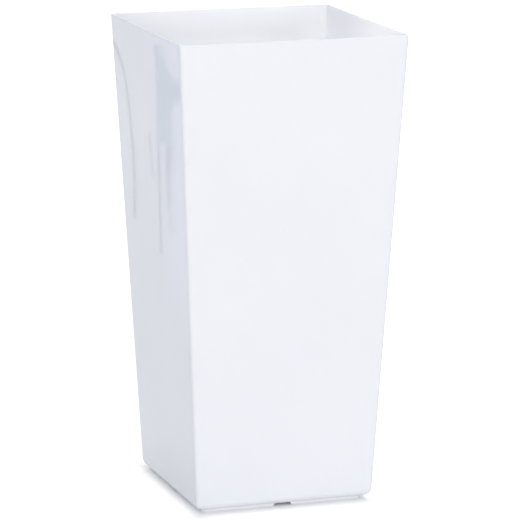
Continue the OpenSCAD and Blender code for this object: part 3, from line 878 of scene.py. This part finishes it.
def make_lid():
    top = COLLAR_TOP + LID_THICKNESS
    lid = lathe("fill_cap", lid_outline(top), FINE_ROUND, FILL)
    left = FILL.x - KNUCKLE_WIDTH / 2
    right = FILL.x + KNUCKLE_WIDTH / 2
    root = COLLAR_RADIUS - LID_SKIRT_WALL
    tab = FILL.y - COLLAR_RADIUS - LID_TAB
    arm = boxes([((left, FILL.y + root, COLLAR_TOP), (right, HINGE.y, top))])
    thumb = boxes([((left, tab, COLLAR_TOP), (right, FILL.y - root, top))])
    soften(thumb, SOFT_ROUND)
    join(lid, arm, thumb, hinge_bar(KNUCKLE_RADIUS, left, right))
    for ridge in range(RIDGES):
        start = tab + RIDGE_START + ridge * RIDGE_PITCH
        low = (left + RIDGE_INSET, start, top - CUT)
        high = (right - RIDGE_INSET, start + RIDGE_WIDTH, top + RIDGE_HEIGHT)
        join(lid, boxes([(low, high)]))
    carve(lid, pin_bore())
    finish(lid, "fill_lid", LINER_GREY, "fill_lid")


def make_pin():
    low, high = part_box("lid_hinge_pin")
    bm = bmesh.new()
    round_bar(bm, PIN_RADIUS, (low.x, HINGE.y, HINGE.z), (high.x, HINGE.y, HINGE.z))
    pin = mesh_object("hinge_wire", bm)
    soften(pin, FINE_ROUND)
    finish(pin, "liner", PIN_STEEL, "lid_hinge_pin")


# Level gauge

def make_gauge_tube():
    low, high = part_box("gauge_tube")
    bore = GAUGE_RADIUS - GAUGE_WALL
    ledge = bore - LEDGE_WIDTH
    ledge_top = low.z + LEDGE_THICKNESS
    tube = lathe("gauge_pipe", [
        (ledge, low.z), (GAUGE_RADIUS, low.z), (GAUGE_RADIUS, high.z),
        (bore, high.z), (bore, ledge_top), (ledge, ledge_top),
    ], FINE_ROUND, GAUGE)
    half = INLET_WIDTH / 2
    reach = GAUGE_RADIUS + CUT
    start = low.z + INLET_START
    inlet = ((-reach, -half, start), (reach, half, start + INLET_HEIGHT))
    middle = Matrix.Translation((GAUGE.x, GAUGE.y, 0))
    for turn in (0, math.pi / 2):
        carve(tube, boxes([inlet], middle @ Matrix.Rotation(turn, 4, "Z")))
    finish(tube, "liner", LINER_GREY, "gauge_tube")


def make_guide():
    bore = ROD_RADIUS + 2 * PIN_GAP
    plug = GAUGE_RADIUS - GAUGE_WALL - SLIDE_GAP / 2
    spigot = GAUGE_RADIUS - WINDOW_WALL - SLIDE_GAP / 2
    bottom = GAUGE_TOP - GUIDE_DEPTH
    flange = GAUGE_TOP + GUIDE_FLANGE
    top = flange + GUIDE_SPIGOT
    guide = lathe("gauge_guide", [
        (bore, bottom), (plug, bottom), (plug, GAUGE_TOP), (GAUGE_RADIUS, GAUGE_TOP),
        (GAUGE_RADIUS, flange), (spigot, flange), (spigot, top), (bore, top),
    ], FINE_ROUND, GAUGE)
    finish(guide, "liner", INSERT_GREY, "gauge_rod_guide")


def dome(radius, base, steps=12):
    """Points of a quarter circle, from the wall up to the axis."""
    turns = [math.pi / 2 * step / steps for step in range(steps)]
    side = [(radius * math.cos(turn), base + radius * math.sin(turn)) for turn in turns]
    return side + [(0, base + radius)]


def level_mark(name, level):
    """A printed ring round the window."""
    outer = GAUGE_RADIUS + MARK_PROUD
    inner = GAUGE_RADIUS - MARK_DEPTH
    outline = tube_outline(outer, inner, level - MARK_HEIGHT / 2, level + MARK_HEIGHT / 2)
    finish(lathe(name, outline, at=GAUGE), "liner", MARK_INK)


def make_window():
    low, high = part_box("gauge_window")
    base = high.z - GAUGE_RADIUS
    inner = GAUGE_RADIUS - WINDOW_WALL
    outside = [(GAUGE_RADIUS, low.z)] + dome(GAUGE_RADIUS, base)
    inside = dome(inner, base)[::-1] + [(inner, low.z)]
    window = lathe("gauge_dome", outside + inside, at=GAUGE)
    finish(window, "liner", WINDOW_CLEAR, "gauge_window")
    empty = centre("gauge_pointer").z
    level_mark("empty_mark", empty)
    level_mark("half_mark", empty + FLOAT_TRAVEL / 2)
    level_mark("full_mark", min(empty + FLOAT_TRAVEL, base))


def make_float():
    low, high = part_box("gauge_float")
    radius = (high.x - low.x) / 2
    bore = ROD_RADIUS + PIN_GAP
    half = (low.z + high.z) / 2
    float_body = lathe("float_body", [
        (0, low.z), (radius, low.z), (radius, high.z), (bore, high.z), (bore, half), (0, half),
    ], SOFT_ROUND, GAUGE)
    finish(float_body, "float", FLOAT_FOAM, "gauge_float")


def make_rod():
    low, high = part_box("gauge_rod")
    outline = [(0, low.z), (ROD_RADIUS, low.z), (ROD_RADIUS, high.z), (0, high.z)]
    rod = lathe("float_rod", outline, FINE_ROUND, GAUGE)
    finish(rod, "float", ROD_WHITE, "gauge_rod")


def make_pointer():
    low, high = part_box("gauge_pointer")
    rod_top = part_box("gauge_rod")[1].z
    bore = ROD_RADIUS + PIN_GAP
    waist = POINTER_RADIUS - POINTER_GROOVE
    third = (high.z - low.z) / 3
    groove_low = low.z + third
    groove_high = high.z - third
    pointer = lathe("float_pointer", [
        (bore, low.z), (POINTER_RADIUS, low.z), (POINTER_RADIUS, groove_low),
        (waist, groove_low + POINTER_GROOVE), (waist, groove_high - POINTER_GROOVE),
        (POINTER_RADIUS, groove_high), (POINTER_RADIUS, high.z),
        (0, high.z), (0, rod_top), (bore, rod_top),
    ], SOFT_ROUND, GAUGE)
    finish(pointer, "float", POINTER_RED, "gauge_pointer")


# Drain plugs

def make_plug(node, body, hole, seat, direction):
    """Flange, tapered stem and pull tab; direction is +1 for a tab that points up."""
    low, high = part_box(node)
    end = low.z if direction > 0 else high.z
    stem = hole - SLIDE_GAP
    flange = seat + direction * PLUG_FLANGE
    plug = lathe(node + "_stopper", [
        (0, end), (stem - STEM_TAPER, end), (stem, seat),
        (stem + PLUG_RIM, seat), (stem + PLUG_RIM, flange), (0, flange),
    ], SOFT_ROUND)
    root = flange - direction * SOFT_ROUND
    middle = root + direction * TAB_RADIUS
    half = TAB_THICKNESS / 2
    tab = bar(TAB_RADIUS, (0, -half, middle), (0, half, middle))
    foot = ((-TAB_RADIUS, -half, min(root, middle)), (TAB_RADIUS, half, max(root, middle)))
    join(tab, boxes([foot]))
    carve(tab, bar(TAB_HOLE_RADIUS, (0, -2 * half, middle), (0, 2 * half, middle)))
    soften(tab, SOFT_ROUND)
    join(plug, tab)
    finish(plug, body, PLUG_RUBBER, node)


def make_gasket(node, body, hole):
    low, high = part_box(node)
    outline = tube_outline(high.x, hole + SLIDE_GAP / 2, low.z, high.z)
    gasket = lathe(node + "_ring", outline, FINE_ROUND)
    finish(gasket, body, SEAL_RUBBER, node)


make_planter()
make_liner(centre("right_handle").x)
make_handle("left_handle")
make_handle("right_handle")
cup_places = [centre(node) for node in CUP_NODES]
make_separator(cup_places)
for cup_node, cup_place in zip(CUP_NODES, cup_places):
    make_cup(cup_node, cup_place)
make_fill_tube()
make_collar()
make_lid()
make_pin()
make_gauge_tube()
make_guide()
make_window()
make_float()
make_rod()
make_pointer()
make_plug("planter_drain_plug", "planter_plug", DRAIN_RADIUS, FLOOR_TOP + GASKET_THICKNESS, 1)
make_gasket("planter_drain_gasket", "planter_plug", DRAIN_RADIUS)
make_plug("liner_drain_plug", "liner_plug", LINER_DRAIN_RADIUS, LINER_BOTTOM - GASKET_THICKNESS, -1)
make_gasket("liner_drain_gasket", "liner_plug", LINER_DRAIN_RADIUS)


# Stage: white floor that is lifted to plain white away from the planter's foot; near the foot the lift
# fades out, which paints shade round the foot on top of the real shadow
FLOOR_HALF = 14.0
FLOOR_ALBEDO = 0.94
FLOOR_ROUGHNESS = 0.9
FLOOR_SPECULAR = 0.1
FLOOR_GLOW = 0.5
# Warm tint of the lift, which also tints the painted shade round the foot
GLOW_TINT = (1.0, 0.99, 0.95)
FAR_GLOW = 0.28
FAR_START = 0.4
FAR_FULL = 2.4
# Painted shade round the foot: where the lift starts and is full, and how steeply it rises to the left
# and right
GLOW_START = 96 * MM
GLOW_FULL = 150 * MM
LEFT_GLOW = 2.0
RIGHT_GLOW = 4.0

# Stage: cards that show in the gloss of the left side
CARD_PLACE = 0.30
CARD_TINT = (0.80, 0.92, 1.0)
GREY_LEVEL = 1.06
TAIL_LEVEL = 0.6
DARK_LEVEL = 0.35
TAIL_WIDTH = 3
LINE_WIDTH = 2
SHORT_LINE_WIDTH = 1.5
PALE_PLACE = 0.32
PALE_TINT = (0.87, 0.90, 1.0)
PALE_LEVEL = 1.5
PALE_RIGHT = -222 * MM
PALE_LEFT = -262 * MM
PALE_LOW = 40 * MM
PALE_HIGH = 260 * MM

# Stage: soft studio light
AMBIENT = 0.44
AMBIENT_TINT = (0.895, 0.95, 1.085)
WHITE_LEVEL = 1.1
BODY_MIDDLE = (0, 0, 350 * MM)
LAMP_DISTANCE = 5.0
LAMP_SIZE = 2.2
KEY_TINT = (1.0, 0.978, 0.935)
KEY_WATTS = 47
LOW_WATTS = 59
LOW_HEIGHT = 0.9
SIDE_WATTS = 18
BACK_WATTS = 56
TOP_WATTS = 5.0
TOP_SIZE = (0.40, 0.36)
TOP_DISTANCE = 1.9
MOUTH_WATTS = 0.24
MOUTH_SIZE = (80 * MM, 30 * MM)
MOUTH_AZIMUTH = -31
MOUTH_DISTANCE = 0.30
MOUTH_AIM = (130 * MM, RIM_HALF, PLANTER_HEIGHT - 50 * MM)


def view_back(azimuth, elevation):
    """Direction from the object to a viewer or a lamp; azimuth 0 is straight in front."""
    flat = math.cos(elevation)
    return Vector((math.sin(azimuth) * flat, -math.cos(azimuth) * flat, math.sin(elevation)))


def math_node(tree, operation, first, second=None):
    node = tree.nodes.new("ShaderNodeMath")
    node.operation = operation
    tree.links.new(first, node.inputs[0])
    if second is not None:
        tree.links.new(second, node.inputs[1])
    return node.outputs["Value"]


def scaled(tree, value, factor, offset):
    node = tree.nodes.new("ShaderNodeMath")
    node.operation = "MULTIPLY_ADD"
    node.inputs[1].default_value = factor
    node.inputs[2].default_value = offset
    tree.links.new(value, node.inputs[0])
    return node.outputs["Value"]


def seen_directly(tree):
    """1 for rays that show the surroundings: from the camera, by reflection or through glass."""
    rays = tree.nodes.new("ShaderNodeLightPath").outputs
    mirrored = math_node(tree, "MAXIMUM", rays["Is Glossy Ray"], rays["Is Transmission Ray"])
    return math_node(tree, "MAXIMUM", rays["Is Camera Ray"], mirrored)


def smooth_rise(tree, value, start, full, height):
    rise = tree.nodes.new("ShaderNodeMapRange")
    rise.interpolation_type = "SMOOTHSTEP"
    rise.inputs["From Min"].default_value = start
    rise.inputs["From Max"].default_value = full
    rise.inputs["To Max"].default_value = height
    tree.links.new(value, rise.inputs["Value"])
    return rise.outputs["Result"]


def white_floor():
    """A white floor whose lift to plain white fades out near the planter's foot, so the real shadow stays
    and the fade paints more shade round the foot, narrower to the left and right.
    """
    bm = bmesh.new()
    bmesh.ops.create_grid(bm, x_segments=1, y_segments=1, size=FLOOR_HALF)
    floor = mesh_object("floor", bm)
    material = bpy.data.materials.new("white_floor")
    material.use_nodes = True
    tree = material.node_tree
    shader = tree.nodes["Principled BSDF"]
    shader.inputs["Base Color"].default_value = (FLOOR_ALBEDO, FLOOR_ALBEDO, FLOOR_ALBEDO, 1)
    shader.inputs["Roughness"].default_value = FLOOR_ROUGHNESS
    shader.inputs["Specular IOR Level"].default_value = FLOOR_SPECULAR
    shader.inputs["Emission Color"].default_value = (*GLOW_TINT, 1)
    place = tree.nodes.new("ShaderNodeSeparateXYZ")
    tree.links.new(tree.nodes.new("ShaderNodeTexCoord").outputs["Object"], place.inputs["Vector"])
    left = scaled(tree, place.outputs["X"], -LEFT_GLOW, (1 - LEFT_GLOW) * FOOT_HALF)
    right = scaled(tree, place.outputs["X"], RIGHT_GLOW, (1 - RIGHT_GLOW) * FOOT_HALF)
    along = math_node(tree, "ABSOLUTE", place.outputs["Y"])
    reach = math_node(tree, "MAXIMUM", math_node(tree, "MAXIMUM", left, right), along)
    # Painted shade: no lift close to the foot, rising to full lift further out
    near = smooth_rise(tree, reach, GLOW_START, GLOW_FULL, FLOOR_GLOW)
    far = smooth_rise(tree, reach, FAR_START, FAR_FULL, FAR_GLOW)
    lift = math_node(tree, "MULTIPLY", math_node(tree, "ADD", near, far), seen_directly(tree))
    tree.links.new(lift, shader.inputs["Emission Strength"])
    floor.data.materials.append(material)


def reflected_card(name, corners, material, place=CARD_PLACE):
    """An upright card behind the planter that shows only in the gloss of its left side."""
    bm = bmesh.new()
    bm.faces.new([bm.verts.new((x * MM, place, z * MM)) for x, z in corners])
    card = mesh_object(name, bm)
    card.data.materials.append(material)
    card.visible_camera = False
    card.visible_diffuse = False
    card.visible_transmission = False
    card.visible_shadow = False


def card_strip(points, width):
    """Outline of a strip some mm wide to the right of its points."""
    return [*points, *((x + width, z) for x, z in reversed(points))]


def bent_line(start, pull, end, steps=8):
    """Points of a curve from start to end that leans towards a third point."""
    shares = [step / steps for step in range(steps + 1)]
    return [
        tuple((1 - t) ** 2 * a + 2 * t * (1 - t) * b + t ** 2 * c for a, b, c in zip(start, pull, end))
        for t in shares
    ]


def grey_card(name, level):
    material = bpy.data.materials.new(name)
    material.use_nodes = True
    shader = material.node_tree.nodes["Principled BSDF"]
    shader.inputs["Base Color"].default_value = (0, 0, 0, 1)
    shader.inputs["Specular IOR Level"].default_value = 0
    shader.inputs["Emission Color"].default_value = (*CARD_TINT, 1)
    shader.inputs["Emission Strength"].default_value = level
    return material


def pale_card(name, level):
    """A bluish white glow that fades out downwards and to the right."""
    material = bpy.data.materials.new(name)
    material.use_nodes = True
    tree = material.node_tree
    tree.nodes.remove(tree.nodes["Principled BSDF"])
    place = tree.nodes.new("ShaderNodeSeparateXYZ")
    tree.links.new(tree.nodes.new("ShaderNodeTexCoord").outputs["Object"], place.inputs["Vector"])
    across = smooth_rise(tree, place.outputs["X"], PALE_RIGHT, PALE_LEFT, 1)
    upwards = smooth_rise(tree, place.outputs["Z"], PALE_LOW, PALE_HIGH, 1)
    glow = tree.nodes.new("ShaderNodeEmission")
    glow.inputs["Color"].default_value = (*PALE_TINT, 1)
    glow.inputs["Strength"].default_value = level
    fade = tree.nodes.new("ShaderNodeMixShader")
    tree.links.new(math_node(tree, "MULTIPLY", across, upwards), fade.inputs["Fac"])
    tree.links.new(tree.nodes.new("ShaderNodeBsdfTransparent").outputs["BSDF"], fade.inputs[1])
    tree.links.new(glow.outputs["Emission"], fade.inputs[2])
    tree.links.new(fade.outputs["Shader"], tree.nodes["Material Output"].inputs["Surface"])
    return material


def studio_cards():
    """What the gloss of the left side mirrors: a broad grey shape, its tails and thin lines."""
    grey = grey_card("grey_card", GREY_LEVEL)
    dark = grey_card("dark_card", DARK_LEVEL)
    broad = [
        (-248, 522), (-257, 521), (-260, 487), (-275, 463), (-274, 443),
        (-266, 437), (-260, 421), (-258, 386), (-238, 386), (-245, 460),
    ]
    reflected_card("broad_card", broad, grey)
    reflected_card("left_tail_card", card_strip([(-243, 386), (-228, 235)], TAIL_WIDTH), dark)
    tail = [(-258, 386), (-250, 330), (-244, 262), (-243, 262), (-246, 330), (-253, 386)]
    reflected_card("right_tail_card", tail, grey_card("tail_card", TAIL_LEVEL))
    line = bent_line((-192, 536), (-218, 467), (-196, 290))
    reflected_card("line_card", card_strip(line, LINE_WIDTH), dark)
    wide = [(-300, 0), (-220, 0), (-220, 560), (-300, 560)]
    reflected_card("pale_card", wide, pale_card("pale_card", PALE_LEVEL), PALE_PLACE)
    short_line = card_strip([(-227, 405), (-224, 339)], SHORT_LINE_WIDTH)
    reflected_card("short_line_card", short_line, dark)


def studio_world():
    """Even light from all round; the camera itself sees plain white."""
    world = bpy.data.worlds.new("studio")
    bpy.context.scene.world = world
    world.use_nodes = True
    tree = world.node_tree
    sky = tree.nodes["Background"]
    sky.inputs["Color"].default_value = (*AMBIENT_TINT, 1)
    level = tree.nodes.new("ShaderNodeMapRange")
    level.inputs["To Min"].default_value = AMBIENT
    level.inputs["To Max"].default_value = WHITE_LEVEL
    tree.links.new(seen_directly(tree), level.inputs["Value"])
    tree.links.new(level.outputs["Result"], sky.inputs["Strength"])


def hang_lamp(light, azimuth, elevation, distance=LAMP_DISTANCE, aim=BODY_MIDDLE):
    """Puts a lamp at some distance from what it aims at; angles in degrees."""
    lamp = bpy.data.objects.new(light.name, light)
    bpy.context.scene.collection.objects.link(lamp)
    back = view_back(math.radians(azimuth), math.radians(elevation))
    lamp.location = Vector(aim) + distance * back
    lamp.rotation_euler = back.to_track_quat("Z", "Y").to_euler()
    return lamp


def softbox(name, watts, width=LAMP_SIZE, height=LAMP_SIZE):
    light = bpy.data.lights.new(name, "AREA")
    light.shape = "RECTANGLE"
    light.size = width
    light.size_y = height
    light.energy = watts
    light.color = KEY_TINT
    return light


def studio_lamps():
    hang_lamp(softbox("key_light", KEY_WATTS), azimuth=-14, elevation=16)
    hang_lamp(softbox("low_light", LOW_WATTS, height=LOW_HEIGHT), azimuth=2, elevation=3)
    hang_lamp(softbox("side_light", SIDE_WATTS), azimuth=-80, elevation=28)
    hang_lamp(softbox("back_light", BACK_WATTS), azimuth=140, elevation=24)
    top = softbox("top_light", TOP_WATTS, *TOP_SIZE)
    hang_lamp(top, azimuth=0, elevation=90, distance=TOP_DISTANCE, aim=(0, 0, 0))


def mouth_lamp():
    """A small lamp just inside the mouth, for the shell's inner walls alone."""
    light = softbox("mouth_light", MOUTH_WATTS, *MOUTH_SIZE)
    lamp = hang_lamp(light, MOUTH_AZIMUTH, 0, MOUTH_DISTANCE, MOUTH_AIM)
    lamp.visible_glossy = False
    shell_only = bpy.data.collections.new("mouth_light_shell")
    shell_only.objects.link(bpy.data.objects["planter_shell"])
    lamp.light_linking.receiver_collection = shell_only
    lamp.light_linking.blocker_collection = shell_only


white_floor()
studio_cards()
studio_world()
studio_lamps()
mouth_lamp()


# Camera

def photo_camera():
    back = view_back(CAMERA_AZIMUTH, CAMERA_ELEVATION)
    level = Vector((math.cos(CAMERA_AZIMUTH), math.sin(CAMERA_AZIMUTH), 0))
    rise = back.cross(level)
    right = level * math.cos(CAMERA_ROLL) + rise * math.sin(CAMERA_ROLL)
    up = rise * math.cos(CAMERA_ROLL) - level * math.sin(CAMERA_ROLL)
    place = right * CAMERA_ASIDE + up * CAMERA_RISE + back * CAMERA_DISTANCE
    lens = bpy.data.cameras.new("photo_camera")
    lens.lens = LENS_MM
    lens.sensor_width = SENSOR_MM
    lens.clip_end = CLIP_END
    camera = bpy.data.objects.new("photo_camera", lens)
    bpy.context.scene.collection.objects.link(camera)
    turn = Matrix((right, up, back)).transposed().to_4x4()
    camera.matrix_world = Matrix.Translation(place) @ turn
    bpy.context.scene.camera = camera


photo_camera()
bpy.context.scene.view_settings.view_transform = "Standard"
